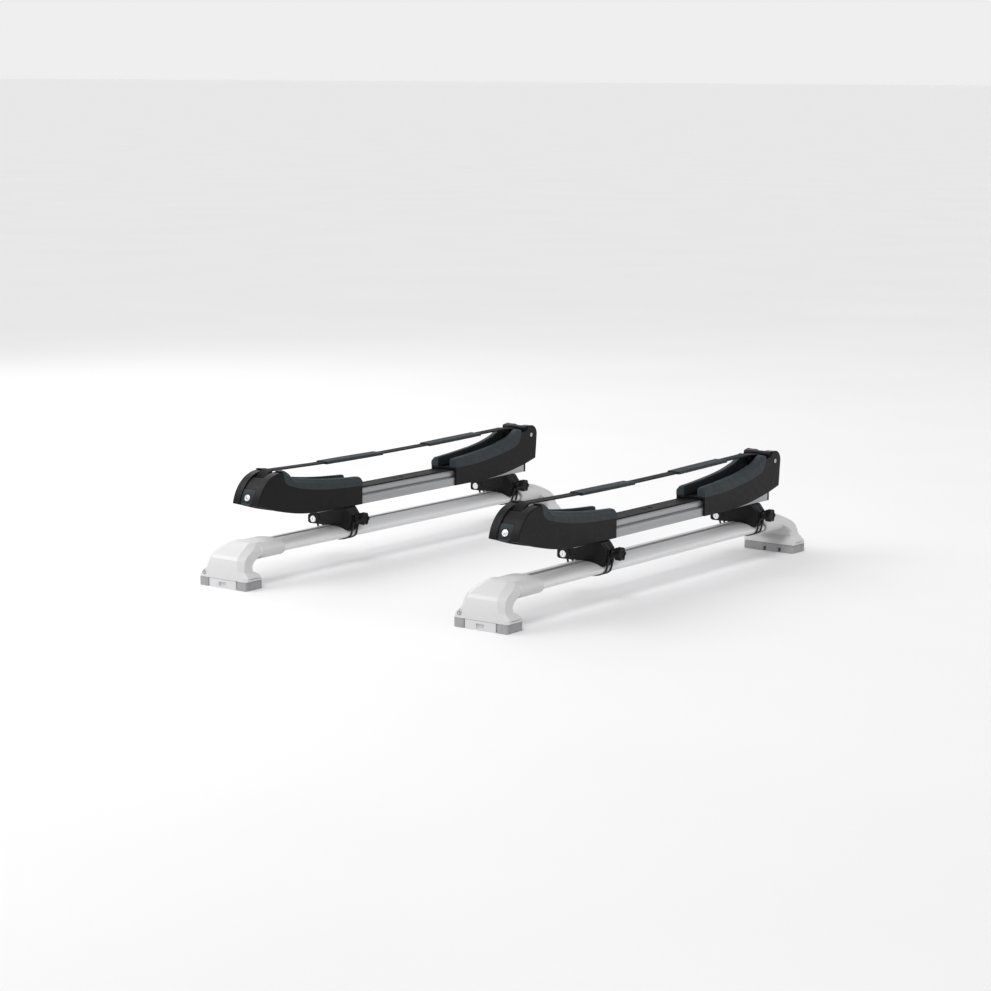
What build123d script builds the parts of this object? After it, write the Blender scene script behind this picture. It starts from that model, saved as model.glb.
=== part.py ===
"""A pair of roof-rack board carriers on two crossbars with four feet.

Frame: +X along the crossbars, +Y from the front bar to the rear bar, +Z up.
The origin is on the ground plane of the feet, in the middle of the rack.

Each carrier is modelled about its own middle: x along its rail, y across it and
z = 0 at the underside of the rail. place() then sets it on the front or rear bar.
"""
import os
from math import cos, radians, sin
from build123d import *

# Where the carriers stand
BAR_SPACING = 608.0
CARRIER_X = 0.0
CARRIER_Y = 1.0
RAIL_HEIGHT = 115.0

# Crossbar
BAR_HALF_WIDTH = 40.0
BAR_HALF_HEIGHT = 13.5
BAR_MID_Z = -51.0
BAR_HALF_LENGTH = 458.0
SLOT_HALF_WIDTH = 6.0
SLOT_FLOOR_Z = -42.0

# Roof foot, measured from the middle of its bar
FOOT_OUTER = 517.0
FOOT_INNER = 469.0
FOOT_HALF_LENGTH = 60.0
SLEEVE_INNER = 386.0
BASE_TOP_Z = -98.0
FOOT_BOTTOM_Z = -RAIL_HEIGHT
JAW_GAP = 0.4
JAW_THICKNESS = 8.0
FOOT_LOCK_Y = 46.0
FOOT_LOCK_Z = -88.0
FOOT_LOCK_R = 5.0
COVER_WALL = 4.0
CAP_LENGTH = 55.0
JAW_PIN_Y = (-18, 18)
JAW_PIN_Z = -106.0
JAW_PIN_R = 3.0

# Rail and its telescoping tube
RAIL_LEFT = -270.0
RAIL_RIGHT = 411.0
END_CAP = 6.0
RAIL_HALF_WIDTH = 29.0
RAIL_BOX_TOP = 17.0
BEAD_HALF_WIDTH = 25.0
BEAD_TOP = 31.0
TUBE_HALF_WIDTH = 26.0
TUBE_BOTTOM = 4.0
TUBE_TOP = 13.5
TUBE_LEFT = -300.0
TUBE_RIGHT = 60.0
COVER_HALF_WIDTH = 20.0
COVER_THICKNESS = 2.0
SCREW_X = (3.0, 23.0)

# Cradles
HALF_WIDTH = 33.0
CHANNEL_HALF_WIDTH = 15.5
CHANNEL_FLOOR = 37.0
RAIL_POCKET_TOP = 33.6
WALL = 3.0
LEFT_INNER = -139.5
NOSE = (-382.0, 23.0)
NOSE_R = 70.0
PANEL_RECESS = 2.5
RIGHT_INNER = 166.0
PIVOT = (433.0, 79.0)
LOBE_R = 20.5
PIVOT_PIN_R = 3.25
DRUM_R = 20.0
DRUM_Y = (12.3, 29.7)

# Strap, lever and lock
STRAP_HALF_WIDTH = 11.5
STRAP_THICKNESS = 2.5
TAIL_X = -412.0
TAIL_END_Z = 48.0
STRAP_WRAP_R = 12.0
SLEEVES = ((-226.0, -52.0), (103.0, 277.0))
LEVER_AXIS = (-433.8, 61.1)
LEVER_HALF_WIDTH = 14.5
LOCK_ANGLE = 22.2
LOCK_R = 7.0
AXLE_R = 1.5
AXLE_GRIP = 2.5

# Clamps that hold the rail on the crossbar
CLAMP_X = {"left": -178.0, "right": 360.0}
CLAMP_HALF_WIDTH = 20.0
HINGE = (48.0, -30.0)
KNOB_Z = -20.0
KNOB_R = 13.0
KNOB_END_Y = -72.0
GRIP_Y = -60.0
FLANGE_Y = (-53.0, -51.6)
FORK_Y = (-49.4, -46.8)
BOLT_R = 3.0
BAND_X = (4.9, 9.7)
BARREL_R = 5.0
HINGE_PIN_R = 2.5
SADDLE_THICKNESS = 1.5

RUNNING_GAP = 0.05


def block(x0, x1, y0, y1, z0, z1):
    """A box from its lowest to its highest corner."""
    middle = Vector((x0 + x1) / 2, (y0 + y1) / 2, (z0 + z1) / 2)
    return Pos(middle) * Box(x1 - x0, y1 - y0, z1 - z0)


def along_y(outline, y0, y1):
    """Extrude an outline drawn in x and z from y0 to y1."""
    face = Plane.XZ.offset(-y1) * make_face(outline)
    return extrude(face, y1 - y0)


def along_x(sketch, x0, x1):
    """Extrude a sketch drawn in y and z from x0 to x1."""
    return extrude(Plane.YZ.offset(x0) * sketch, x1 - x0)


def pin_y(x, z, radius, y0, y1):
    """A round bar that runs along y."""
    return Pos(x, (y0 + y1) / 2, z) * Rot(90, 0, 0) * Cylinder(radius, y1 - y0)


def pin_x(y, z, radius, x0, x1):
    """A round bar that runs along x."""
    return Pos((x0 + x1) / 2, y, z) * Rot(0, 90, 0) * Cylinder(radius, x1 - x0)


def both_sides(solid):
    """The solid and its mirror image across the carrier's middle plane."""
    return [solid, mirror(solid, about=Plane.XZ)]


def place(shape, row):
    """Move a carrier's or bar's shape to the front (-1) or rear (+1) bar."""
    return Pos(CARRIER_X, CARRIER_Y + row * BAR_SPACING / 2, RAIL_HEIGHT) * shape


def nose_point(angle, radius):
    """A point on the lock end's round nose, at an angle above level."""
    return (NOSE[0] - radius * cos(radians(angle)), NOSE[1] + radius * sin(radians(angle)))


def write(name, solids):
    """Write one node, which may hold several separate solids."""
    solids = solids if isinstance(solids, list) else [solids]
    shape = solids[0] if len(solids) == 1 else Compound(children=solids)
    export_step(shape, f"parts/{name}.step")


# Crossbar and feet, drawn about the middle of the bar ---------------------------------


def bar_ellipse(grow):
    return Pos(0, BAR_MID_Z) * Ellipse(BAR_HALF_WIDTH + grow, BAR_HALF_HEIGHT + grow)


def slot_sketch():
    top = BAR_MID_Z + BAR_HALF_HEIGHT + 1
    return Pos(0, (SLOT_FLOOR_Z + top) / 2) * Rectangle(2 * SLOT_HALF_WIDTH, top - SLOT_FLOOR_Z)


def crossbar():
    chamber = bar_ellipse(-2.8) & Pos(0, BAR_MID_Z - 2.5) * Rectangle(90, 15)
    section = bar_ellipse(0) - slot_sketch() - chamber
    return along_x(section, -BAR_HALF_LENGTH, BAR_HALF_LENGTH)


def crossbar_strip():
    section = bar_ellipse(0) & slot_sketch()
    return along_x(section, -SLEEVE_INNER + 0.5, SLEEVE_INNER - 0.5)


def foot_cap():
    """The end of the sleeve, where its top slopes down to the outer face."""
    sections = (
        (FOOT_OUTER - 5, -67, 34, 6.5),
        (FOOT_OUTER - 28, -57, 39, 12.5),
    )
    faces = [Plane.YZ.offset(-x) * Pos(0, z) * Ellipse(width, height) for x, z, width, height in sections]
    faces.append(Plane.YZ.offset(-FOOT_OUTER + CAP_LENGTH) * bar_ellipse(COVER_WALL))
    return loft(faces)


def foot_leg():
    """The leg under the sleeve: slim at the arch and wide at the toe."""
    levels = (
        (BASE_TOP_Z, FOOT_OUTER, FOOT_INNER, FOOT_HALF_LENGTH),
        (-90, FOOT_OUTER, 473, 59),
        (-81, FOOT_OUTER - 0.6, 482, 49),
        (-66, FOOT_OUTER - 3, 476, 46),
        (-58, FOOT_OUTER - 8, 460, 44),
        (BAR_MID_Z, FOOT_OUTER - 14, 446, 42),
    )
    faces = []
    for z, outer, inner, half_width in levels:
        outline = Rectangle(outer - inner, 2 * half_width)
        faces.append(Plane.XY.offset(z) * Pos(-(outer + inner) / 2, 0) * outline)
    return loft(faces, ruled=True)


def foot_shell():
    """The left foot's cover: a sleeve round the bar end on a leg that widens to its toe."""
    sleeve = along_x(bar_ellipse(COVER_WALL), -FOOT_OUTER + CAP_LENGTH, -SLEEVE_INNER)
    shell = sleeve + foot_cap() + foot_leg()
    hollow = block(-FOOT_OUTER + 5, -476, -53, 53, BASE_TOP_Z, -92)
    hollow += block(-FOOT_OUTER + 5, -487, -43, 43, -92, -70)
    shell -= hollow
    shell -= along_x(bar_ellipse(0), -BAR_HALF_LENGTH, -SLEEVE_INNER)
    lock_hole = pin_x(FOOT_LOCK_Y, FOOT_LOCK_Z, FOOT_LOCK_R + RUNNING_GAP, -FOOT_OUTER, -498)
    return shell - lock_hole


def foot_base():
    """The block under the cover; its outer side leaves room for the jaw."""
    outer = -FOOT_OUTER + JAW_THICKNESS + JAW_GAP
    body = block(outer, -FOOT_INNER, -58, 58, FOOT_BOTTOM_Z, BASE_TOP_Z)
    for y in JAW_PIN_Y:
        body -= pin_x(y, JAW_PIN_Z, JAW_PIN_R + RUNNING_GAP, outer, outer + 22)
    return body


def foot_jaw():
    """The outer jaw that closes on a roof rail, with its two guide pins."""
    plate_inner = -FOOT_OUTER + JAW_THICKNESS
    body = block(-FOOT_OUTER, plate_inner, -34, 34, FOOT_BOTTOM_Z, BASE_TOP_Z - JAW_GAP)
    for y in JAW_PIN_Y:
        body += pin_x(y, JAW_PIN_Z, JAW_PIN_R, plate_inner, plate_inner + 20)
    return body


def foot_lock():
    return pin_x(FOOT_LOCK_Y, FOOT_LOCK_Z, FOOT_LOCK_R, -FOOT_OUTER + 0.8, -504)


def on_bar(shape, row, side):
    """Place a foot piece: the right foot is the left one turned half round."""
    turned = shape if side < 0 else Rot(0, 0, 180) * shape
    return Pos(0, CARRIER_Y + row * BAR_SPACING / 2, RAIL_HEIGHT) * turned


# Rail ----------------------------------------------------------------------------------


def rail():
    box = Pos(0, RAIL_BOX_TOP / 2) * Rectangle(2 * RAIL_HALF_WIDTH, RAIL_BOX_TOP)
    neck = Pos(0, RAIL_BOX_TOP + 0.75) * Rectangle(46, 1.5)
    bead_height = BEAD_TOP - RAIL_BOX_TOP - 1.5
    bead_mid = BEAD_TOP - bead_height / 2
    bead = Pos(0, bead_mid) * RectangleRounded(2 * BEAD_HALF_WIDTH, bead_height, 5)
    tube_mid = (TUBE_BOTTOM + TUBE_TOP) / 2
    tube_room = TUBE_TOP - TUBE_BOTTOM + 0.6
    lower = Pos(0, tube_mid) * Rectangle(2 * TUBE_HALF_WIDTH + 0.6, tube_room)
    upper = Pos(0, bead_mid) * Rectangle(2 * BEAD_HALF_WIDTH - 8, bead_height - 5)
    body = along_x(box + neck + bead - lower - upper, RAIL_LEFT, RAIL_RIGHT)
    for x in SCREW_X:
        body -= Pos(x, 0, BEAD_TOP) * Cylinder(2.1, 8)
    return body


def rail_cover():
    body = block(RAIL_LEFT, RAIL_RIGHT, -COVER_HALF_WIDTH, COVER_HALF_WIDTH, BEAD_TOP,
                 BEAD_TOP + COVER_THICKNESS)
    for x in SCREW_X:
        body -= Pos(x, 0, BEAD_TOP + 1) * Cone(2.1, 4.1, 2)
    return body


def rail_screw(x):
    head = Pos(x, 0, BEAD_TOP + 0.9) * Cone(2.0, 3.8, 1.8)
    socket = Pos(x, 0, BEAD_TOP + 1.4) * extrude(RegularPolygon(1.2, 6), 1)
    shank = Pos(x, 0, BEAD_TOP - 4) * Cylinder(2.0, 8)
    return head + shank - socket


def rail_end_cap():
    plate = block(RAIL_RIGHT, RAIL_RIGHT + END_CAP, -RAIL_HALF_WIDTH, RAIL_HALF_WIDTH, 0, BEAD_TOP)
    plug = block(RAIL_RIGHT - 12, RAIL_RIGHT, -TUBE_HALF_WIDTH, TUBE_HALF_WIDTH, TUBE_BOTTOM,
                 TUBE_TOP)
    return plate + plug


def extension_tube():
    mid = (TUBE_BOTTOM + TUBE_TOP) / 2
    outside = Pos(0, mid) * Rectangle(2 * TUBE_HALF_WIDTH, TUBE_TOP - TUBE_BOTTOM)
    inside = Pos(0, mid) * Rectangle(2 * TUBE_HALF_WIDTH - 4, TUBE_TOP - TUBE_BOTTOM - 4)
    return along_x(outside - inside, TUBE_LEFT, TUBE_RIGHT)


# Lock-end cradle -----------------------------------------------------------------------

LEFT_SEAT = ((LEFT_INNER, 38), (-209, 41), (-279, 47), (-340, 58.5), (-370, 70), (-378, 89))
LEFT_TOP = ((-384, 95.5), (-371, 95.5), (-357, 88.5), (-345, 78.5), (-325, 74.5), (-265, 65.5),
            (-205, 59.5), (-143.5, 55.7))
LEFT_UNDERSIDE = ((-209, 0.5), (-305, 3.6), (-372, 14), (-430, 30))


def left_outline():
    nose = CenterArc(NOSE, NOSE_R, 90, 79.5)
    lip = nose @ 1
    edges = [
        Spline(*LEFT_SEAT),
        Line(LEFT_SEAT[-1], nose @ 0),
        nose,
        Line(lip, LEFT_UNDERSIDE[-1]),
        Spline(*LEFT_UNDERSIDE[::-1]),
        Line(LEFT_UNDERSIDE[0], (LEFT_INNER, 0.5)),
        Line((LEFT_INNER, 0.5), LEFT_SEAT[0]),
    ]
    return edges


def cheek_hollow():
    """The space inside one cheek of the lock end, open underneath."""
    nose = CenterArc(NOSE, NOSE_R - WALL, 90, 80)
    edges = [
        nose,
        Polyline(nose @ 1, (-449, 0), (-310, 0), (-310, 49), (-345, 56), (-376, 66), (-384, 84),
                 nose @ 0),
    ]
    return along_y(edges, CHANNEL_HALF_WIDTH + WALL, HALF_WIDTH - WALL)


def nose_ring(inner, outer, low_angle, high_angle):
    """A stretch of the round nose between two radii and two angles above level."""
    outside = CenterArc(NOSE, outer, 180 - high_angle, high_angle - low_angle)
    inside = CenterArc(NOSE, inner, 180 - high_angle, high_angle - low_angle)
    return [outside, inside, Line(outside @ 0, inside @ 0), Line(outside @ 1, inside @ 1)]


def left_housing():
    body = along_y(left_outline(), -HALF_WIDTH, HALF_WIDTH)
    body -= block(RAIL_LEFT - 0.6, 0, -RAIL_HALF_WIDTH - 0.6, RAIL_HALF_WIDTH + 0.6, -5,
                  RAIL_POCKET_TOP)
    body -= block(TUBE_LEFT, -260, -TUBE_HALF_WIDTH, TUBE_HALF_WIDTH, TUBE_BOTTOM, TUBE_TOP)
    for hollow in both_sides(cheek_hollow()):
        body -= hollow
    width = CHANNEL_HALF_WIDTH
    body -= block(-500, 0, -width, width, CHANNEL_FLOOR, 120)
    body -= block(-500, -390, -width, width, 0, 120)
    recess = NOSE_R - PANEL_RECESS
    panel = nose_ring(recess - WALL, recess, 42, 62)
    body += along_y(panel, -width, width)
    for y in (-width - AXLE_GRIP, width):
        body -= pin_y(*LEVER_AXIS, AXLE_R, y, y + AXLE_GRIP)
    return body


def left_pad():
    edges = [
        Spline(*LEFT_SEAT),
        Polyline(LEFT_SEAT[-1], LEFT_TOP[0], LEFT_TOP[1]),
        Spline(*LEFT_TOP[1:-1]),
        Line(LEFT_TOP[-2], LEFT_TOP[-1]),
        ThreePointArc(LEFT_TOP[-1], (-140.7, 54.5), (LEFT_INNER, 51.7)),
        Line((LEFT_INNER, 51.7), LEFT_SEAT[0]),
    ]
    return along_y(edges, CHANNEL_HALF_WIDTH, HALF_WIDTH)


def lever_axle():
    reach = CHANNEL_HALF_WIDTH + AXLE_GRIP
    return pin_y(*LEVER_AXIS, AXLE_R, -reach, reach)


def lock_cylinder(radius, inner, outer):
    """A round bar along the lock's axis, between two radii from the nose's centre."""
    x, z = nose_point(LOCK_ANGLE, (inner + outer) / 2)
    return Pos(x, 0, z) * Rot(0, LOCK_ANGLE - 90, 0) * Cylinder(radius, outer - inner)


def strap_lever():
    """The release tab, with its hinge barrel, lock boss and strap cam."""
    width = LEVER_HALF_WIDTH
    tab = along_y(nose_ring(64.0, 68.0, 11, 36), -width, width)
    boss = lock_cylinder(9.5, 56, 67)
    barrel = pin_y(*LEVER_AXIS, 3.5, -width, width)
    x, z = LEVER_AXIS
    cam_tip = TAIL_X - STRAP_THICKNESS / 2 - 0.4
    cam = along_y([Polyline((x, z + 3), (cam_tip, z + 1), (cam_tip, z - 3), (x, z - 3), close=True)],
                  -10, 10)
    body = tab + boss + barrel + cam
    body -= lock_cylinder(LOCK_R + RUNNING_GAP, 57.5, 72)
    return body - pin_y(x, z, AXLE_R + RUNNING_GAP, -width, width)


def strap_lock():
    return lock_cylinder(LOCK_R, 58, 68.8)


# Hinge-end cradle ----------------------------------------------------------------------

RIGHT_SEAT = ((RIGHT_INNER, 38), (239, 39.5), (314, 48), (371, 58.5), (390, 70), (396, 86))
RIGHT_TOP = ((170, 55.8), (227, 60), (302, 68), (358, 80), (386, 93))
RIGHT_UNDERSIDE = ((264, 0.5), (340, 6), (413, 18))


def right_outline():
    lobe = CenterArc(PIVOT, LOBE_R, 0, 148)
    edges = [
        Line(RIGHT_SEAT[0], (RIGHT_INNER, 0.5)),
        Line((RIGHT_INNER, 0.5), RIGHT_UNDERSIDE[0]),
        Spline(*RIGHT_UNDERSIDE),
        Polyline(RIGHT_UNDERSIDE[-1], (449, 27), (452, 60), lobe @ 0),
        lobe,
        Polyline(lobe @ 1, (404, 87), RIGHT_SEAT[-1]),
        Spline(*RIGHT_SEAT[::-1]),
    ]
    return edges


def right_housing():
    body = along_y(right_outline(), -HALF_WIDTH, HALF_WIDTH)
    pocket_half = RAIL_HALF_WIDTH + 0.2
    body -= block(0, RAIL_RIGHT + END_CAP, -pocket_half, pocket_half, -5, RAIL_POCKET_TOP)
    width = CHANNEL_HALF_WIDTH
    body -= block(0, 446, -width, width, CHANNEL_FLOOR, 120)
    inside = HALF_WIDTH - WALL
    body -= block(401, 446, -inside, inside, 50, 120)
    body -= block(401, 470, -inside, inside, 56, 120)
    x, z = PIVOT
    return body - pin_y(x, z, PIVOT_PIN_R + RUNNING_GAP, -HALF_WIDTH, HALF_WIDTH)


def right_pad():
    edges = [
        Spline(*RIGHT_SEAT),
        Line(RIGHT_SEAT[-1], RIGHT_TOP[-1]),
        Spline(*RIGHT_TOP),
        ThreePointArc(RIGHT_TOP[0], (167.2, 54.6), (RIGHT_INNER, 51.8)),
        Line((RIGHT_INNER, 51.8), RIGHT_SEAT[0]),
    ]
    return along_y(edges, CHANNEL_HALF_WIDTH, HALF_WIDTH)


def pivot_pin():
    x, z = PIVOT
    shank = pin_y(x, z, PIVOT_PIN_R, -HALF_WIDTH, HALF_WIDTH)
    heads = [pin_y(x, z, 4.2, y, y + 1.2) for y in (-HALF_WIDTH - 1.2, HALF_WIDTH)]
    return shank + heads[0] + heads[1]


def strap_yoke():
    """Two drums on the pivot, a hub for the strap and a bar over it."""
    x, z = PIVOT
    inner, outer = DRUM_Y
    body = pin_y(x, z, STRAP_WRAP_R - STRAP_THICKNESS / 2 - RUNNING_GAP, -inner, inner)
    for y0, y1 in ((-outer, -inner), (inner, outer)):
        body += pin_y(x, z, DRUM_R, y0, y1)
        body += block(x - DRUM_R - 1, x, y0, y1, z, z + DRUM_R)
    body += block(x - DRUM_R - 1, x - 10, -outer, outer, z + 15.5, z + DRUM_R)
    return body - pin_y(x, z, PIVOT_PIN_R + RUNNING_GAP, -outer, outer)


STRAP_RUN = ((TAIL_X, TAIL_END_Z), (TAIL_X, 95.5), (-250, 91.5), (-30, 90.2), (90, 90.8), (370, 96),
             (PIVOT[0] - 8, PIVOT[1] + STRAP_WRAP_R), (PIVOT[0], PIVOT[1] + STRAP_WRAP_R))
STRAP_BENDS = (30, 300, 300, 300, 100, 40)


def strap():
    """The webbing: its tail in the lock end, the long run and a half turn on the hub."""
    run = FilletPolyline(*STRAP_RUN, radius=STRAP_BENDS)
    wrap = CenterArc(PIVOT, STRAP_WRAP_R, 90, -180)
    path = Plane.XZ * Wire(run.edges() + wrap.edges())
    start = Plane(origin=path @ 0, z_dir=path % 0, x_dir=(0, 1, 0))
    return sweep(start * Rectangle(2 * STRAP_HALF_WIDTH, STRAP_THICKNESS), path)


def strap_sleeve(x0, x1):
    """A loose fabric tube round a straight run of the strap."""
    runs = zip(STRAP_RUN, STRAP_RUN[1:])
    (xa, za), (xb, zb) = next(run for run in runs if run[0][0] < x0 < run[1][0])
    slope = (zb - za) / (xb - xa)
    ends = [(x, za + slope * (x - xa)) for x in (x0, x1)]
    line = Plane.XZ * Line(*ends)
    start = Plane(origin=line @ 0, z_dir=line % 0, x_dir=(0, 1, 0))
    outside = Rectangle(2 * STRAP_HALF_WIDTH + 5, STRAP_THICKNESS + 3)
    inside = Rectangle(2 * STRAP_HALF_WIDTH + 0.6, STRAP_THICKNESS + 0.6)
    return sweep(start * (outside - inside), line)


# Clamps --------------------------------------------------------------------------------


def clamp_bracket(xc):
    """The saddle under the rail, with a clevis for the band at its rear end."""
    outline = Polyline((-34, 0), (44, 0), (58, -21), (61, -24), (61, -36), (58, -39), (10, -39),
                       (-10, -47), (-40, -45), (-46, -26), (-46, -13), close=True)
    section = make_face(outline) - bar_ellipse(SADDLE_THICKNESS)
    body = along_x(section, xc - CLAMP_HALF_WIDTH, xc + CLAMP_HALF_WIDTH)
    body -= block(xc - 10.5, xc + 12.5, 41.5, 80, -60, -23)
    y, z = HINGE
    body -= pin_x(y, z, LOCK_R + RUNNING_GAP, xc - CLAMP_HALF_WIDTH, xc - 14)
    body -= pin_x(y, z, HINGE_PIN_R + RUNNING_GAP, xc - 13, xc + 15)
    return body - pin_y(xc, KNOB_Z, BOLT_R + RUNNING_GAP, -50, -30)


def saddle_pad(xc):
    arch = bar_ellipse(SADDLE_THICKNESS) - bar_ellipse(0)
    section = arch & Pos(-14, -40) * Rectangle(44, 20)
    return along_x(section, xc - CLAMP_HALF_WIDTH + 2, xc + CLAMP_HALF_WIDTH - 2)


def clamp_band(xc):
    """Twin bands under the bar, from the hinge barrel to the fork at the knob."""
    y, z = HINGE
    ring = bar_ellipse(2.7) - bar_ellipse(0.5)
    hoop = ring & Pos(0, -61.5) * Rectangle(100, 21)
    near_riser = make_face(Polyline((-42.7, -52), (-40.6, -52), (-46.8, -27), (-49, -27), close=True))
    far_riser = make_face(Polyline((40.6, -52), (42.7, -52), (51, -33), (46.5, -33), close=True))
    section = hoop + near_riser + far_riser
    low, high = BAND_X
    body = along_x(section, xc + low, xc + high)
    body += along_x(section, xc - high, xc - low)
    body += pin_x(y, z, BARREL_R, xc - 10, xc + 12)
    body += pin_x(y, z, HINGE_PIN_R, xc - 12.6, xc + 14.6)
    body += block(xc - 11, xc + 11, *FORK_Y, -30, -13)
    notch = BOLT_R + 0.6
    body -= pin_y(xc, KNOB_Z, notch, *FORK_Y)
    return body - block(xc - notch, xc + notch, *FORK_Y, KNOB_Z, -10)


def clamp_knob(xc):
    """A star knob with a tapered neck on its own bolt."""
    bolt = pin_y(xc, KNOB_Z, BOLT_R, FLANGE_Y[0], -32)
    flange = pin_y(xc, KNOB_Z, 8, *FLANGE_Y)
    neck = Pos(xc, -57, KNOB_Z) * Rot(90, 0, 0) * Cone(8, 6.5, 8)
    grip = pin_y(xc, KNOB_Z, KNOB_R, KNOB_END_Y, GRIP_Y)
    for turn in range(0, 360, 60):
        x = xc + 15.5 * cos(radians(turn))
        z = KNOB_Z + 15.5 * sin(radians(turn))
        grip -= pin_y(x, z, 4.5, KNOB_END_Y, GRIP_Y)
    return bolt + flange + neck + grip


def clamp_lock(xc):
    y, z = HINGE
    return pin_x(y, z, LOCK_R, xc - CLAMP_HALF_WIDTH - 0.8, xc - 14.3)


def write_carrier(row, name):
    """Write every node of one carrier."""
    pieces = {
        "rail": rail(),
        "rail_cover": rail_cover(),
        "rail_end_cap": rail_end_cap(),
        "extension_tube": extension_tube(),
        "left_housing": left_housing(),
        "left_pads": both_sides(left_pad()),
        "lever_axle": lever_axle(),
        "strap_lever": strap_lever(),
        "strap_lock": strap_lock(),
        "right_housing": right_housing(),
        "right_pads": both_sides(right_pad()),
        "strap_yoke": strap_yoke(),
        "strap": strap(),
        "strap_sleeves": [strap_sleeve(*ends) for ends in SLEEVES],
    }
    for side, xc in CLAMP_X.items():
        pieces[f"{side}_bracket"] = clamp_bracket(xc)
        pieces[f"{side}_clamp_band"] = clamp_band(xc)
        pieces[f"{side}_clamp_knob"] = clamp_knob(xc)
        pieces[f"{side}_clamp_lock"] = clamp_lock(xc)
    for piece, shape in pieces.items():
        solids = shape if isinstance(shape, list) else [shape]
        write(f"{name}_{piece}", [place(solid, row) for solid in solids])


def write_bars():
    """Write both crossbars, their strips and all four feet."""
    rows = {"front": -1, "rear": 1}
    sides = {"left": -1, "right": 1}
    for name, row in rows.items():
        write(f"{name}_crossbar", on_bar(crossbar(), row, -1))
        for side, sign in sides.items():
            write(f"{name}_{side}_foot_jaw", on_bar(foot_jaw(), row, sign))
            write(f"{name}_{side}_foot_lock", on_bar(foot_lock(), row, sign))
    corners = [(row, sign) for row in rows.values() for sign in sides.values()]
    write("crossbar_strips", [on_bar(crossbar_strip(), row, -1) for row in rows.values()])
    write("foot_shells", [on_bar(foot_shell(), row, sign) for row, sign in corners])
    write("foot_bases", [on_bar(foot_base(), row, sign) for row, sign in corners])


def write_small_parts():
    """Write the identical small parts of both carriers, one node for each kind."""
    rows = (-1, 1)
    write("rail_screws", [place(rail_screw(x), row) for row in rows for x in SCREW_X])
    write("saddle_pads", [place(saddle_pad(x), row) for row in rows for x in CLAMP_X.values()])
    write("pivot_pins", [place(pivot_pin(), row) for row in rows])


os.makedirs("parts", exist_ok=True)
write_bars()
write_small_parts()
write_carrier(-1, "front")
write_carrier(1, "rear")
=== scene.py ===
import math

import bmesh
import bpy
from mathutils import Matrix, Vector


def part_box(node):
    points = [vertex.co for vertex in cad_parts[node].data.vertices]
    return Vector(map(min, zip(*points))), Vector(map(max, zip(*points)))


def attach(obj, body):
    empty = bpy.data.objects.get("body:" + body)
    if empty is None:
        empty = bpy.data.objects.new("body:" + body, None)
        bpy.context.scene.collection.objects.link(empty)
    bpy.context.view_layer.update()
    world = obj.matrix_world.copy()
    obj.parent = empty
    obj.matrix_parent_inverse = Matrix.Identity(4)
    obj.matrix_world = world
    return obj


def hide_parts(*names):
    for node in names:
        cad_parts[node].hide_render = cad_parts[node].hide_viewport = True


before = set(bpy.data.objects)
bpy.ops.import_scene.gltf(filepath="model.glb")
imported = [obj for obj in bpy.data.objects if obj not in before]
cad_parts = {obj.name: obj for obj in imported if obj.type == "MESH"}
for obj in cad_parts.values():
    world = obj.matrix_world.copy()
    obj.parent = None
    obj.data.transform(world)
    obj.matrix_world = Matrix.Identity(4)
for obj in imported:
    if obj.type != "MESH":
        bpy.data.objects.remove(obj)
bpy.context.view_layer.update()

# Each carrier is drawn in millimetres about its own middle: x along the rail, y across it,
# z = 0 under the rail. A foot or bar is drawn about the middle of its bar.
MM = 0.001
RAIL_LEFT = -270.0
RAIL_RIGHT = 411.0
END_CAP = 6.0
ROWS = ("front", "rear")


def row_origin(row):
    """Where a carrier's own zero is in the frame."""
    low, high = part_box(f"{row}_rail")
    return Vector((low.x - RAIL_LEFT * MM, (low.y + high.y) / 2, low.z))


def bar_origin(row):
    """The middle of a crossbar, at the height of the carrier's zero."""
    return Vector((0, row_origin(row).y, row_origin(row).z))


def add(name, data):
    """A new object, linked to the scene."""
    thing = bpy.data.objects.new(name, data)
    bpy.context.scene.collection.objects.link(thing)
    return thing


# Camera


def add_camera():
    """The camera stands off the front left corner, a little above the rack."""
    azimuth, elevation, roll = (math.radians(a) for a in (-53.53, 9.23, 0.41))
    distance, left_shift, up_shift = 4.9129, 0.28135, 0.05854
    back = Vector((math.sin(azimuth) * math.cos(elevation), -math.cos(azimuth) * math.cos(elevation),
                   math.sin(elevation)))
    level = Vector((math.cos(azimuth), math.sin(azimuth), 0))
    upright = back.cross(level)
    right = math.cos(roll) * level + math.sin(roll) * upright
    up = math.cos(roll) * upright - math.sin(roll) * level
    camera = add("camera", bpy.data.cameras.new("camera"))
    place = row_origin("front") - left_shift * right + up_shift * up + distance * back
    turn = Matrix((right, up, back)).transposed().to_4x4()
    camera.matrix_world = Matrix.Translation(place) @ turn
    camera.data.sensor_width = 36
    camera.data.lens = 93.84
    bpy.context.scene.camera = camera


# Materials

# A wave texture of this scale has one band in each metre.
WAVE_UNIT = 0.3142


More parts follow.
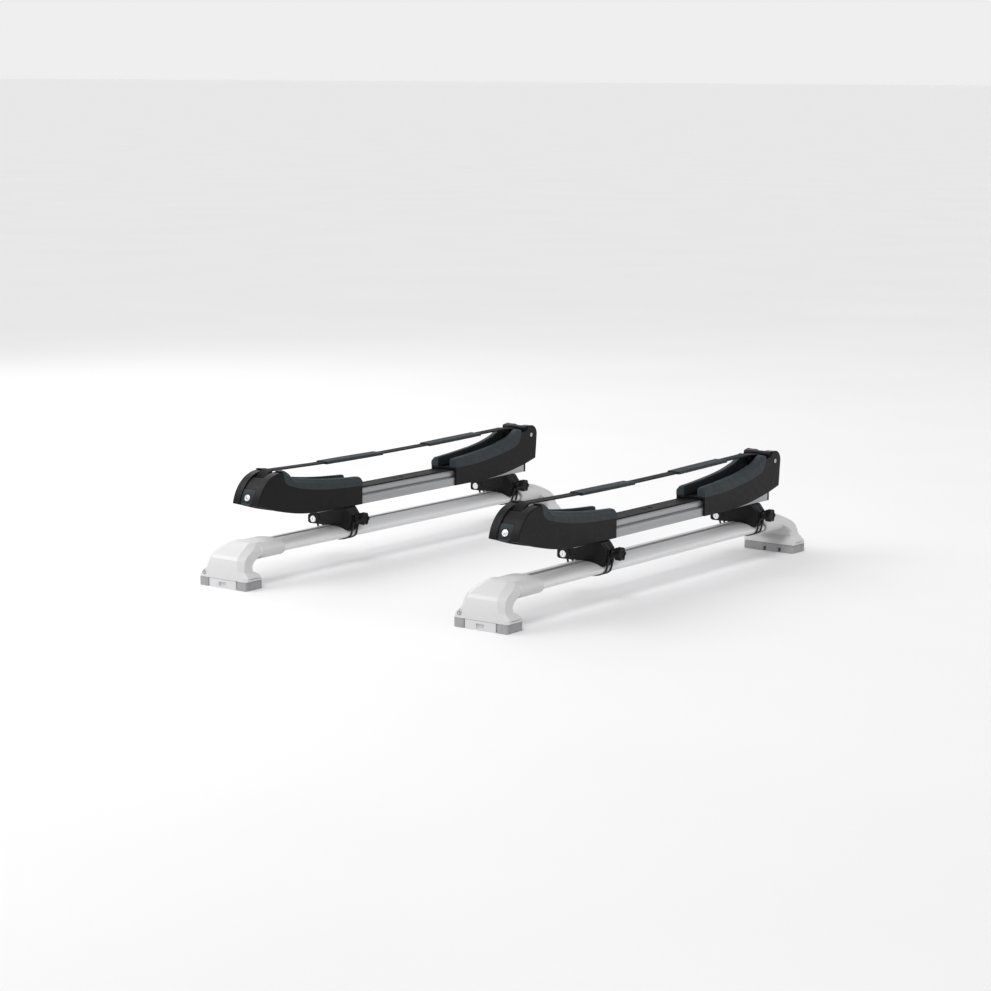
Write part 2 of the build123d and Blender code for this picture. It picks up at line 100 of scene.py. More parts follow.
class Surface:
    """A procedural material built up from patterns in the piece's own coordinates."""

    def __init__(self, name, color, roughness, metallic=0.0):
        self.material = bpy.data.materials.new(name)
        self.material.use_nodes = True
        self.nodes = self.material.node_tree.nodes
        self.links = self.material.node_tree.links
        self.shader = self.nodes["Principled BSDF"]
        self.color = color
        self.set(Base_Color=(*color, 1), Roughness=roughness, Metallic=metallic)
        self.coords = self.nodes.new("ShaderNodeTexCoord").outputs["Object"]
        self.normal = None

    def set(self, **values):
        for name, value in values.items():
            self.shader.inputs[name.replace("_", " ")].default_value = value

    def node(self, kind, linked, **values):
        """A new node with inputs linked or set by name."""
        node = self.nodes.new("ShaderNode" + kind)
        for name, source in linked.items():
            self.links.new(source, node.inputs[name])
        for name, value in values.items():
            node.inputs[name.replace("_", " ")].default_value = value
        return node

    def scaled(self, scale):
        return self.node("Mapping", {"Vector": self.coords}, Scale=scale).outputs["Vector"]

    def noise(self, scale, detail=3.0, stretch=(1, 1, 1)):
        linked = {"Vector": self.scaled(stretch)}
        return self.node("TexNoise", linked, Scale=scale, Detail=detail).outputs["Fac"]

    def cells(self, scale):
        return self.node("TexVoronoi", {"Vector": self.coords}, Scale=scale).outputs["Distance"]

    def wave(self, direction, period, distortion=0.0):
        """Bands across one axis, one for each period in metres."""
        node = self.node("TexWave", {"Vector": self.coords}, Scale=WAVE_UNIT / period,
                         Distortion=distortion)
        node.bands_direction = direction
        return node.outputs["Fac"]

    def multiply(self, first, second):
        node = self.node("Math", {0: first, 1: second})
        node.operation = "MULTIPLY"
        return node.outputs[0]

    def spread(self, pattern, low, high, start=0.3, end=0.7):
        """The pattern's range from start to end, stretched to run from low to high."""
        return self.node("MapRange", {"Value": pattern}, From_Min=start, From_Max=end, To_Min=low,
                         To_Max=high).outputs["Result"]

    def tint(self, pattern, low, high, start=0.3, end=0.7):
        """The base colour, times low to high as the pattern rises."""
        node = self.nodes.new("ShaderNodeMix")
        node.data_type = "RGBA"
        for name, factor in (("A", low), ("B", high)):
            node.inputs[name].default_value = (*(c * factor for c in self.color), 1)
        self.links.new(self.spread(pattern, 0, 1, start, end), node.inputs["Factor"])
        self.links.new(node.outputs["Result"], self.shader.inputs["Base Color"])

    def gloss(self, pattern, low, high):
        self.links.new(self.spread(pattern, low, high), self.shader.inputs["Roughness"])

    def bump(self, pattern, depth, strength=0.5):
        """A bump on top of those made before it."""
        linked = {"Height": pattern}
        if self.normal:
            linked["Normal"] = self.normal
        node = self.node("Bump", linked, Strength=strength, Distance=depth)
        self.normal = node.outputs["Normal"]
        self.links.new(self.normal, self.shader.inputs["Normal"])


def moulded(name, color, low, high, grain=0.00006, shine=0.2):
    """Moulded plastic with a fine spark grain and slightly uneven gloss."""
    s = Surface(name, color, (low + high) / 2)
    s.tint(s.noise(60, 4), 0.9, 1.12)
    s.gloss(s.noise(140, 5), low, high)
    s.bump(s.noise(2600, 2), grain, 0.35)
    s.bump(s.noise(420, 3), grain, 0.12)
    s.set(Specular_IOR_Level=shine)
    return s.material


def rubber(name, color, shine=0.22):
    """Soft moulded rubber: a satin skin with a fine pebble grain and pale scuffs."""
    s = Surface(name, color, 0.55)
    s.tint(s.noise(35, 6), 0.9, 1.14)
    s.gloss(s.noise(90, 6), 0.46, 0.66)
    s.bump(s.cells(1500), 0.00008, 0.3)
    s.bump(s.noise(300, 4), 0.0001, 0.12)
    s.set(Specular_IOR_Level=shine)
    return s.material


def anodised(name, color, low, high, metallic):
    """Extruded aluminium: fine die lines along x under a satin anodised skin."""
    s = Surface(name, color, (low + high) / 2, metallic)
    lines = s.noise(900, 2, (0.004, 1, 1))
    s.tint(s.noise(500, 3, (0.01, 1, 1)), 0.93, 1.05)
    s.gloss(s.noise(220, 4, (0.02, 1, 1)), low, high)
    s.bump(lines, 0.00002, 0.25)
    return s.material


def painted(name, color):
    """Satin paint with faint orange peel."""
    s = Surface(name, color, 0.36)
    s.tint(s.noise(12, 4), 0.97, 1.02)
    s.gloss(s.noise(80, 4), 0.30, 0.44)
    s.bump(s.noise(900, 2), 0.00005, 0.2)
    return s.material


def bright_metal(name, color, roughness):
    """Plated steel with fine turning marks and a few dull spots."""
    s = Surface(name, color, roughness, 1.0)
    s.tint(s.noise(260, 5), 0.86, 1.04)
    s.gloss(s.noise(700, 4), roughness * 0.7, roughness * 1.5)
    s.bump(s.noise(2400, 2), 0.00002, 0.3)
    return s.material


def webbing(name, color):
    """Flat polyester webbing: rows of picks across it and cords along it."""
    s = Surface(name, color, 0.7)
    picks = s.wave("X", 0.0011, 0.6)
    cords = s.wave("Y", 0.0016, 0.3)
    weave = s.multiply(picks, cords)
    s.tint(weave, 0.55, 1.9, 0.0, 1.0)
    s.gloss(s.noise(160, 4), 0.55, 0.8)
    s.bump(weave, 0.00035, 0.7)
    s.set(Specular_IOR_Level=0.12, Sheen_Weight=0.04, Sheen_Roughness=0.45)
    return s.material


def sleeve_cloth(name, color):
    """Coated sleeve fabric with a tight plain weave."""
    s = Surface(name, color, 0.75)
    weave = s.multiply(s.wave("X", 0.0009, 0.4), s.wave("Y", 0.0009, 0.4))
    s.tint(weave, 0.78, 1.3, 0.0, 1.0)
    s.gloss(s.noise(120, 5), 0.62, 0.82)
    s.bump(weave, 0.00022, 0.6)
    s.bump(s.noise(90, 3), 0.0004, 0.2)
    s.set(Specular_IOR_Level=0.15, Sheen_Weight=0.06, Sheen_Roughness=0.4)
    return s.material


def thread(name, color):
    s = Surface(name, color, 0.6)
    s.tint(s.noise(900, 2), 0.8, 1.2)
    s.bump(s.wave("X", 0.0005), 0.0001, 0.5)
    return s.material


def floor_paint():
    s = Surface("floor_pale", (0.82, 0.82, 0.825), 0.7)
    s.tint(s.noise(1.5, 4), 0.9878, 1.0122)
    s.bump(s.noise(60, 3), 0.0005, 0.05)
    return s.material


M = {
    "housing": moulded("housing_plastic", (0.0050, 0.0050, 0.0052), 0.38, 0.50, shine=0.15),
    "yoke": moulded("yoke_plastic", (0.0070, 0.0070, 0.0072), 0.32, 0.44, shine=0.18),
    "bracket": moulded("bracket_nylon", (0.0045, 0.0045, 0.0048), 0.30, 0.42, 0.00008, 0.18),
    "cover": moulded("cover_plastic", (0.0060, 0.0060, 0.0062), 0.44, 0.56, shine=0.08),
    "lever": moulded("lever_plastic", (0.010, 0.0165, 0.020), 0.40, 0.52),
    "pad": rubber("pad_rubber", (0.026, 0.034, 0.039)),
    "saddle": rubber("saddle_rubber", (0.008, 0.008, 0.008)),
    "strip": rubber("strip_rubber", (0.30, 0.30, 0.305)),
    "base": rubber("base_rubber", (0.31, 0.31, 0.315)),
    "rail": anodised("rail_aluminium", (0.38, 0.384, 0.39), 0.34, 0.46, 0.8),
    "bar": anodised("bar_aluminium", (0.76, 0.76, 0.765), 0.46, 0.58, 0.5),
    "steel": bright_metal("pin_steel", (0.56, 0.56, 0.57), 0.28),
    # The screws' near-black colour is painted shade: it makes the screw holes in the cover strip look
    # dark.
    "screw": bright_metal("screw_painted_shade", (0.04, 0.04, 0.042), 0.35),
    "chrome": bright_metal("lock_chrome", (0.88, 0.88, 0.89), 0.16),
    "foot": painted("foot_white", (0.56, 0.56, 0.56)),
    "jaw": painted("jaw_grey", (0.56, 0.56, 0.565)),
    "strap": webbing("strap_webbing", (0.0026, 0.0027, 0.0029)),
    "sleeve": sleeve_cloth("sleeve_fabric", (0.031, 0.038, 0.042)),
    "thread": thread("stitch_thread", (0.040, 0.049, 0.054)),
}


# Mesh tools


def make(name, vertices, faces, weights=None):
    """A mesh object from points in millimetres, with its faces turned outwards."""
    mesh = bpy.data.meshes.new(name)
    mesh.from_pydata([Vector(v) * MM for v in vertices], [], faces)
    b = bmesh.new()
    b.from_mesh(mesh)
    bmesh.ops.recalc_face_normals(b, faces=b.faces)
    b.to_mesh(mesh)
    b.free()
    if weights:
        layer = mesh.attributes.new("bevel_weight_edge", "FLOAT", "EDGE")
        for edge in mesh.edges:
            layer.data[edge.index].value = weights.get(frozenset(edge.vertices), 0.0)
    return add(name, mesh)


def settle(shape):
    """Apply the modifiers of a shape to its mesh."""
    graph = bpy.context.evaluated_depsgraph_get()
    mesh = bpy.data.meshes.new_from_object(shape.evaluated_get(graph), depsgraph=graph)
    shape.modifiers.clear()
    shape.data = mesh
    return shape


def rounded(shape, width, segments=3, angle=None):
    """Round a shape's edges: those with a bevel weight, or those sharper than an angle."""
    bevel = shape.modifiers.new("Round", "BEVEL")
    bevel.width = width * MM
    bevel.segments = segments
    bevel.limit_method = "ANGLE" if angle else "WEIGHT"
    bevel.angle_limit = math.radians(angle or 0)
    return settle(shape)


def combine(shape, tool, operation="DIFFERENCE"):
    """Cut, join or intersect a shape with a tool, which is used up."""
    bpy.context.view_layer.update()
    step = shape.modifiers.new("Combine", "BOOLEAN")
    step.operation = operation
    step.solver = "EXACT"
    step.object = tool
    settle(shape)
    bpy.data.objects.remove(tool)
    return shape


def cut(shape, *tools):
    for tool in tools:
        combine(shape, tool)
    return shape


def fuse(shape, *others):
    for other in others:
        combine(shape, other, "UNION")
    return shape


def gather(shapes):
    """Join separate shapes into one object, materials kept."""
    first = shapes[0]
    b = bmesh.new()
    materials = []
    for shape in shapes:
        start = len(b.faces)
        b.from_mesh(shape.data)
        b.faces.ensure_lookup_table()
        slots = []
        for material in shape.data.materials:
            if material not in materials:
                materials.append(material)
            slots.append(materials.index(material))
        for face in b.faces[start:]:
            face.material_index = slots[face.material_index] if slots else 0
    mesh = bpy.data.meshes.new(first.name)
    b.to_mesh(mesh)
    b.free()
    for material in materials:
        mesh.materials.append(material)
    for shape in shapes[1:]:
        bpy.data.objects.remove(shape)
    first.data = mesh
    return first


def moved(shape, matrix):
    shape.data.transform(matrix)
    if matrix.determinant() < 0:
        shape.data.flip_normals()
    return shape


def mirrored(shape):
    """A copy of a shape, mirrored across the middle plane."""
    return moved(add(shape.name, shape.data.copy()), Matrix.Diagonal((1, -1, 1, 1)))


def translation(x, y, z):
    return Matrix.Translation(Vector((x, y, z)) * MM)


def shifted(shape, x=0.0, y=0.0, z=0.0):
    return moved(shape, translation(x, y, z))


def clad(shape, key, angle=32):
    """Give a shape its material and smooth, weighted normals."""
    mesh = shape.data
    mesh.materials.clear()
    mesh.materials.append(M[key])
    for face in mesh.polygons:
        face.material_index = 0
    mesh.shade_smooth()
    mesh.set_sharp_from_angle(angle=math.radians(angle))
    step = shape.modifiers.new("Normals", "WEIGHTED_NORMAL")
    step.keep_sharp = True
    return settle(shape)


SOFT_SHARE = 0.08
CORNER_ANGLE = math.radians(25)


def solid_point(axis, u, v, along):
    """A point from two coordinates of an outline and one along the axis."""
    return {"X": (along, u, v), "Y": (u, along, v), "Z": (u, v, along)}[axis]


def prism(axis, outline, low, high, rims=(1, 1), corners=1.0, soft=()):
    """An outline drawn along an axis. rims weigh the bevel of its two ends, corners that
    of its sharp side edges, and soft lists outline edges that get almost none."""
    count = len(outline)
    vertices = [solid_point(axis, u, v, w) for w in (low, high) for u, v in outline]
    faces = [list(range(count)), list(range(count, 2 * count))]
    weights = {}
    for i in range(count):
        j = (i + 1) % count
        faces.append([i, j, count + j, count + i])
        share = SOFT_SHARE if i in soft else 1.0
        weights[frozenset((i, j))] = rims[0] * share
        weights[frozenset((count + i, count + j))] = rims[1] * share
        before = Vector(outline[i]) - Vector(outline[i - 1])
        after = Vector(outline[j]) - Vector(outline[i])
        if before.angle(after, 0) > CORNER_ANGLE:
            weights[frozenset((i, count + i))] = corners
    return make("prism", vertices, faces, weights)


def box(x0, x1, y0, y1, z0, z1):
    return prism("X", rectangle(y0, y1, z0, z1), x0, x1)


def arc(centre, radius, start, end, steps):
    """Points on an arc, angles in degrees."""
    points = []
    for i in range(steps + 1):
        a = math.radians(start + (end - start) * i / steps)
        points.append((centre[0] + radius * math.cos(a), centre[1] + radius * math.sin(a)))
    return points


def curve_through(points, steps=8):
    """A smooth line through points, by Catmull and Rom's rule."""
    line = []
    last = len(points) - 1
    for i in range(last):
        p0 = Vector(points[max(i - 1, 0)])
        p1, p2 = Vector(points[i]), Vector(points[i + 1])
        p3 = Vector(points[min(i + 2, last)])
        for k in range(steps):
            t = k / steps
            line.append(0.5 * (2 * p1 + (p2 - p0) * t + (2 * p0 - 5 * p1 + 4 * p2 - p3) * t * t
                               + (3 * p1 - p0 - 3 * p2 + p3) * t ** 3))
    line.append(Vector(points[-1]))
    return [tuple(p) for p in line]


def filleted(points, radii, closed=True, steps=6):
    """A polygon or line whose corners are arcs of the radii given."""
    result = []
    count = len(points)
    for i, point in enumerate(points):
        radius = radii[i] if isinstance(radii, (list, tuple)) else radii
        ends = not closed and i in (0, count - 1)
        if ends or radius <= 0:
            result.append(tuple(point))
            continue
        here = Vector(point)
        to_last = (Vector(points[i - 1]) - here).normalized()
        to_next = (Vector(points[(i + 1) % count]) - here).normalized()
        half = to_last.angle(to_next) / 2
        if half > math.radians(89.5):
            result.append(tuple(point))
            continue
        reach = radius / math.tan(half)
        centre = here + (to_last + to_next).normalized() * radius / math.sin(half)
        first = here + to_last * reach - centre
        second = here + to_next * reach - centre
        for k in range(steps + 1):
            spoke = first.slerp(second, k / steps).normalized() * radius
            result.append(tuple(centre + spoke))
    return result


def rectangle(u0, u1, v0, v1, radii=0, steps=6):
    return filleted([(u0, v0), (u1, v0), (u1, v1), (u0, v1)], radii, steps=steps)


def oblong(width, height, radius, steps=4):
    """A rounded rectangle about zero."""
    return rectangle(-width / 2, width / 2, -height / 2, height / 2, radius, steps)


def skin(sections, ring=False):
    """A closed solid through sections of equal point counts."""
    count = len(sections[0])
    vertices = [p for section in sections for p in section]
    faces = []
    last = len(sections) if ring else len(sections) - 1
    for k in range(last):
        n = (k + 1) % len(sections)
        for i in range(count):
            j = (i + 1) % count
            faces.append([k * count + i, k * count + j, n * count + j, n * count + i])
    if not ring:
        faces.append(list(range(count)))
        faces.append(list(range((len(sections) - 1) * count, len(sections) * count)))
    return make("skin", vertices, faces)


def lathe(axis, centre, profile, segments=48):
    """A turned solid: profile lists (place along the axis, radius) from end to end."""
    u, v = centre
    turns = [2 * math.pi * i / segments for i in range(segments)]
    return skin([[solid_point(axis, u + radius * math.cos(a), v + radius * math.sin(a), along)
                  for a in turns] for along, radius in profile])


def band(axis, path, section):
    """A flat band that follows a line across an axis. A section point is (place along the
    axis, height over the line)."""
    rows = []
    for i, point in enumerate(path):
        back = Vector(path[max(i - 1, 0)])
        ahead = Vector(path[min(i + 1, len(path) - 1)])
        along = (ahead - back).normalized()
        out = Vector((-along.y, along.x))
        rows.append([solid_point(axis, point[0] + out.x * h, point[1] + out.y * h, w)
                     for w, h in section])
    return skin(rows)


def stand(shape, name, place, body, node=None, turned=False):
    """A copy of a shape at a place in the frame, on a body, instead of its CAD node."""
    piece = add(name, shape.data.copy())
    piece.location = place
    if turned:
        piece.rotation_euler = (0, 0, math.pi)
    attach(piece, body)
    if node:
        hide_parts(node)
    return piece


def put(shape, name, body, node=""):
    """Stand a copy of a carrier's shape on each bar, on that carrier's own body."""
    made = [stand(shape, f"{row}_{name}", row_origin(row), body.format(row=row),
                  node.format(row=row)) for row in ROWS]
    bpy.data.objects.remove(shape)
    return made


# Rail

SCREW_X = (3, 23)


def rail_section():
    """The lower box, a groove on each side and the rounded bead on top."""
    half = [(29, 0), (29, 17), (23.5, 17), (23.5, 18.5), (25, 18.5), (25, 31)]
    corners = [(-29, 0)] + half + [(-y, z) for y, z in half[:0:-1]]
    return filleted(corners, [1.2, 1.2, 1.0, 0, 0, 3.5, 5.5, 5.5, 3.5, 0, 0, 1.0])


def rail():
    body = prism("X", rail_section(), RAIL_LEFT, RAIL_RIGHT)
    ends = RAIL_LEFT - 5, RAIL_RIGHT + 5
    tunnel = prism("X", rectangle(-26.3, 26.3, 3.7, 13.8, 1), *ends)
    upper = prism("X", rectangle(-21, 21, 21, 28.6, 2.5), *ends)
    seat = box(*ends, -20.2, 20.2, 30.4, 40)
    return clad(cut(body, tunnel, upper, seat), "rail")


def rail_cover():
    """A low black strip with a shallow rib at each edge and two screw recesses."""
    outline = filleted([(-20, 30.4), (20, 30.4), (20, 33), (18.6, 33), (18.2, 32.6), (-18.2, 32.6),
                        (-18.6, 33), (-20, 33)], [0, 0, 0.5, 0.3, 0.2, 0.2, 0.3, 0.5], steps=3)
    body = prism("X", outline, RAIL_LEFT, RAIL_RIGHT)
    recess = [(29, 2.2), (30.7, 2.2), (31.6, 5.0), (32.3, 5.4), (34, 5.4)]
    for x in SCREW_X:
        cut(body, lathe("Z", (x, 0), recess, 32))
    return clad(body, "cover")


def rail_screws():
    """Countersunk screws with hexagon sockets."""
    screws = []
    for x in SCREW_X:
        head = lathe("Z", (x, 0), [(23, 2), (30.4, 2), (31.4, 3.4), (31.6, 3.3)], 32)
        socket = prism("Z", arc((x, 0), 1.5, 0, 300, 5), 30.6, 34)
        screws.append(cut(head, socket))
    # Their near-black material is painted shade for the screw holes.
    return clad(gather(screws), "screw")


def rail_end_cap():
    face = RAIL_RIGHT + END_CAP
    plate = prism("X", rail_section(), RAIL_RIGHT, face, rims=(0.2, 1.0), corners=0)
    rounded(plate, 1.4)
    plug = box(RAIL_RIGHT - 12, RAIL_RIGHT + 0.5, -26, 26, 4, 13.5)
    for y in (-12, 12):
        cut(plate, lathe("X", (y, 8.5), [(face - 1, 2.4), (face + 2, 2.4)], 24))
    return clad(fuse(plate, plug), "cover")


def extension_tube():
    outside = rectangle(-26, 26, 4, 13.5, 1.2, 4)
    inside = rectangle(-24, 24, 6, 11.5, 0.8, 3)
    body = cut(prism("X", outside, -300, 60), prism("X", inside, -305, 65))
    return clad(body, "rail")


# Lock-end cradle

LEFT_INNER = -139.5
RIGHT_INNER = 166.0
CHANNEL = 15.5
SIDE = 33.0
PAD_END = 4.0
CHANNEL_FLOOR = 37.0
EDGE = 2.0
NOSE = (-382.0, 23.0)
NOSE_R = 70.0
PIVOT = (433.0, 79.0)
LEFT_SEAT = ((LEFT_INNER, 38), (-209, 41), (-279, 47), (-340, 58.5), (-370, 70), (-378, 89))
LEFT_TOP = ((-384, 95.5), (-371, 95.5), (-357, 88.5), (-345, 78.5), (-325, 74.5), (-265, 65.5),
            (-205, 59.5), (LEFT_INNER, 55.5))
RIGHT_SEAT = ((RIGHT_INNER, 38), (239, 39.5), (314, 48), (371, 58.5), (390, 70), (396, 86))
RIGHT_TOP = ((RIGHT_INNER, 55.5), (227, 60), (302, 68), (358, 80), (386, 93), (396, 93.5))
LEVER_AXIS = (-433.8, 61.1)
LEVER_HALF_WIDTH = 14.5
LOCK_ANGLE = 22.2
LOCK_R = 7.0


def left_side():
    """The cheek's outline, and which of its edges lie under the pad."""
    seat = curve_through(LEFT_SEAT, 6)
    nose = arc(NOSE, NOSE_R, 90, 169.5, 30)
    under = curve_through(((-430, 30), (-372, 14), (-305, 3.6), (-209, 0.5)), 8)
    outline = seat + nose + under + [(LEFT_INNER, 0.5)]
    return outline, range(len(seat))


def left_cheek():
    outline, soft = left_side()
    cheek = prism("Y", outline, CHANNEL - 0.6, SIDE, rims=(0.3, 1.0), corners=0.3, soft=soft)
    rounded(cheek, EDGE, 4)
    hollow = arc(NOSE, NOSE_R - 3, 90, 170, 16) + [(-449, 0), (-310, 0), (-310, 46), (-345, 53),
                                                   (-374, 64), (-384, 82)]
    return cut(cheek, prism("Y", hollow, 18.5, 30))


def nose_ring(inner, outer, low, high, half_width, steps=14):
    outline = arc(NOSE, outer, 180 - high, 180 - low, steps)
    outline += arc(NOSE, inner, 180 - low, 180 - high, steps)
    return prism("Y", outline, -half_width, half_width, rims=(0.5, 0.5), corners=1.0)


def left_housing():
    """Two cheeks, the floor between them, the nose panel and cross ribs."""
    cheek = left_cheek()
    other = mirrored(cheek)
    width = CHANNEL + 0.4
    floor = prism("Y", [(LEFT_INNER, 30), (LEFT_INNER, CHANNEL_FLOOR + 0.6), (-150, CHANNEL_FLOOR),
                        (-385, CHANNEL_FLOOR), (-385, 30)], -width, width)
    panel = rounded(nose_ring(63.5, 67.5, 36.6, 63, width, 14), 0.6)
    cut(panel, lathe("Y", LEVER_AXIS, [(-20, 4.0), (20, 4.0)], 40))
    stop = prism("Y", [(-300, 2.4), (-300, 33), (-273, 33), (-273, 1.2)], -width, width)
    body = fuse(cheek, other, floor, panel, stop)
    pocket = box(RAIL_LEFT - 0.6, -100, -29.6, 29.6, -5, 33.6)
    tube = box(-300.5, -250, -26.2, 26.2, 3.8, 13.7)
    return clad(cut(body, pocket, tube), "housing")


def height_at(points, x):
    """The height of a line of points at x."""
    for (xa, za), (xb, zb) in zip(points, points[1:]):
        if min(xa, xb) <= x <= max(xa, xb):
            share = (x - xa) / (xb - xa) if xb != xa else 0.0
            return za + (zb - za) * share
    return points[-1][1]


def pad_section(x, seat, top):
    """A cross-section of a pad: a bevelled outside shoulder and a slightly crowned top."""
    tall = max(top - seat, 0.4)
    drop = min(8.0, 0.45 * tall)
    width = 0.75 * drop
    lip = min(2.0, 0.2 * tall)
    outer, inner = SIDE + 0.15, CHANNEL
    corner, edge = (outer, top - drop), (outer - width, top - 0.1 * drop)
    rest = (inner + lip, top - 0.05 * drop)
    shoulder = filleted([(outer, seat), corner, edge, rest], [0, 0.12 * drop, 0.3 * drop, 0],
                        closed=False, steps=4)
    crown = ((inner + lip + edge[0]) / 2, top - 0.02 * drop)
    points = [(inner, seat), shoulder[0], (outer, seat + 0.5 * (tall - drop)), *shoulder[1:-1], crown,
              *arc((inner + lip, top - lip), lip, 90, 180, 4), (inner, seat + 0.5 * (tall - lip))]
    return [(x, y, z) for y, z in points]


def pad(seat_points, top_points, stations, round_end):
    """One pad, with its inner end rounded over in side view."""
    seat_line = curve_through(seat_points, 12)
    top_line = curve_through(top_points, 12)
    sections = []
    for x in stations:
        top = height_at(top_line, x)
        reach = abs(x - round_end)
        if reach < PAD_END:
            top -= PAD_END - math.sqrt(PAD_END ** 2 - (PAD_END - reach) ** 2)
        sections.append(pad_section(x, height_at(seat_line, x), top))
    return skin(sections)


def spaced(*stretches):
    """Stations along x: each stretch is (from, to, how many steps)."""
    stations = [stretches[0][0]]
    for start, end, steps in stretches:
        stations += [start + (end - start) * (i + 1) / steps for i in range(steps)]
    return stations


def both_pads(single):
    return clad(gather([single, mirrored(single)]), "pad", 24)


def left_pads():
    stations = spaced((LEFT_INNER, LEFT_INNER - PAD_END, 8), (LEFT_INNER - PAD_END, -335, 40),
                      (-335, -384, 36))
    seat = LEFT_SEAT + ((-384, 95.2),)
    return both_pads(pad(seat, LEFT_TOP, stations, LEFT_INNER))


def right_pads():
    stations = spaced((RIGHT_INNER, RIGHT_INNER + PAD_END, 8), (RIGHT_INNER + PAD_END, 350, 40),
                      (350, 396, 32))
    return both_pads(pad(RIGHT_SEAT, RIGHT_TOP, stations, RIGHT_INNER))


def nose_frame():
    """Turns local +Z to the lock's axis and its zero to the nose's centre."""
    a = math.radians(LOCK_ANGLE)
    out = Vector((-math.cos(a), 0, math.sin(a)))
    side = Vector((0, 1, 0))
    turn = Matrix((side.cross(out), side, out)).transposed().to_4x4()
    return translation(NOSE[0], 0, NOSE[1]) @ turn


def lock_barrel(radius, length):
    """A lock cylinder along z: a chamfered face, a ring groove and a key slot."""
    groove = radius * 0.72
    profile = [(-length, radius - 0.5), (-length + 0.5, radius), (-0.9, radius), (0, radius - 0.7),
               (0.0, groove + 0.35), (-0.45, groove), (0.0, groove - 0.35), (0.25, groove * 0.5),
               (0.3, 0.6)]
    body = lathe("Z", (0, 0), profile, 56)
    slot = rounded(box(-radius * 0.42, radius * 0.42, -0.55, 0.55, -3.5, 2), 0.35, 2, 30)
    return cut(body, slot)


def strap_lever():
    """The curved release tab with its lock boss, hinge barrel, cam and finger lip."""
    half = LEVER_HALF_WIDTH
    plate = nose_ring(64, 68, 11, 36.3, half, 16)
    fuse(plate, lathe("Y", LEVER_AXIS, [(-half, 3.7), (half, 3.7)]))
    shape = prism("Z", rectangle(-40, 19, -half, half, [0, 6, 6, 0], 8), 40, 90)
    combine(plate, moved(shape, nose_frame()), "INTERSECT")
    rounded(plate, 0.6, angle=40)
    ring = moved(lathe("Z", (0, 0), [(58, 9.4), (67.4, 9.4), (68.5, 8.9), (68.7, 8.4),
                                     (68.3, 7.8)], 56), nose_frame())
    x, z = LEVER_AXIS
    cam = prism("Y", filleted([(x, z + 3), (-414.0, z + 1.2), (-414.0, z - 3), (x, z - 3)],
                              [0, 0.8, 0.8, 0]), -10, 10)
    lip = prism("Y", [(-446.0, 34.0), (-450.3, 34.6), (-450.5, 36.0), (-448.4, 38.5),
                      (-445.6, 37.0)], -11, 11, rims=(0.6, 0.6))
    rounded(lip, 0.6, 2)
    body = fuse(plate, ring, cam, lip)
    bore = moved(lathe("Z", (0, 0), [(57.5, LOCK_R + 0.1), (75, LOCK_R + 0.1)]), nose_frame())
    return clad(cut(body, bore), "lever")


def strap_lock():
    return clad(moved(shifted(lock_barrel(LOCK_R, 10.8), z=68.6), nose_frame()), "chrome")


def lever_axle():
    profile = [(-18, 1.2), (-17.7, 1.5), (17.7, 1.5), (18, 1.2)]
    return clad(lathe("Y", LEVER_AXIS, profile, 24), "steel")


# Hinge-end cradle


def right_side():
    seat = curve_through(RIGHT_SEAT, 6)
    lobe = arc(PIVOT, 20.5, 148, 0, 26)
    under = curve_through(((413, 18), (340, 6), (264, 0.5)), 8)
    outline = seat + [(404, 87)] + lobe + [(452, 60), (449, 27)] + under + [(RIGHT_INNER, 0.5)]
    return outline, range(len(seat))


def right_housing():
    """Two cheeks with thin lobes round the pivot, a floor and a low end wall."""
    outline, soft = right_side()
    cheek = prism("Y", outline, CHANNEL - 0.6, SIDE, rims=(0.3, 0.8), corners=0.3, soft=soft)
    rounded(cheek, 2.6, 4)
    inner = SIDE - 3.0
    well = rounded(box(401, 480, -10, inner, 56, 120), 1.0, 2, 30)
    deep = box(401, 446, -10, inner, 50, 80)
    cut(cheek, well, deep)
    recess = lathe("Y", PIVOT, [(31.6, 4.9), (32.7, 4.9), (33.4, 5.3), (40, 5.3)], 40)
    cut(cheek, recess, lathe("Y", PIVOT, [(10, 3.3), (50, 3.3)], 32))
    other = mirrored(cheek)
    width = CHANNEL + 0.4
    floor = prism("Y", [(RIGHT_INNER, 30), (RIGHT_INNER, CHANNEL_FLOOR + 0.6),
                        (176, CHANNEL_FLOOR), (446, CHANNEL_FLOOR), (446, 30)], -width, width)
    wall = prism("Y", filleted([(446, 20), (449, 26), (451, 56), (446, 56)], [0, 1, 1.2, 1]),
                 -width, width)
    body = fuse(cheek, other, floor, wall)
    pocket = box(100, RAIL_RIGHT + END_CAP + 1, -29.4, 29.4, -5, 33.6)
    return clad(cut(body, pocket), "housing")


def pivot_pins():
    """A pin with a low domed head at each end, with a driver recess."""
    profile = [(-33.6, 1.2), (-33.5, 3.0), (-32.9, 4.2), (-32.0, 4.4), (-31.7, 3.25), (31.7, 3.25),
               (32.0, 4.4), (32.9, 4.2), (33.5, 3.0), (33.6, 1.2)]
    pin = lathe("Y", PIVOT, profile, 40)
    for low, high in ((-40, -32.6), (32.6, 40)):
        cut(pin, prism("Y", arc(PIVOT, 1.6, 0, 300, 5), low, high))
    return clad(pin, "steel")


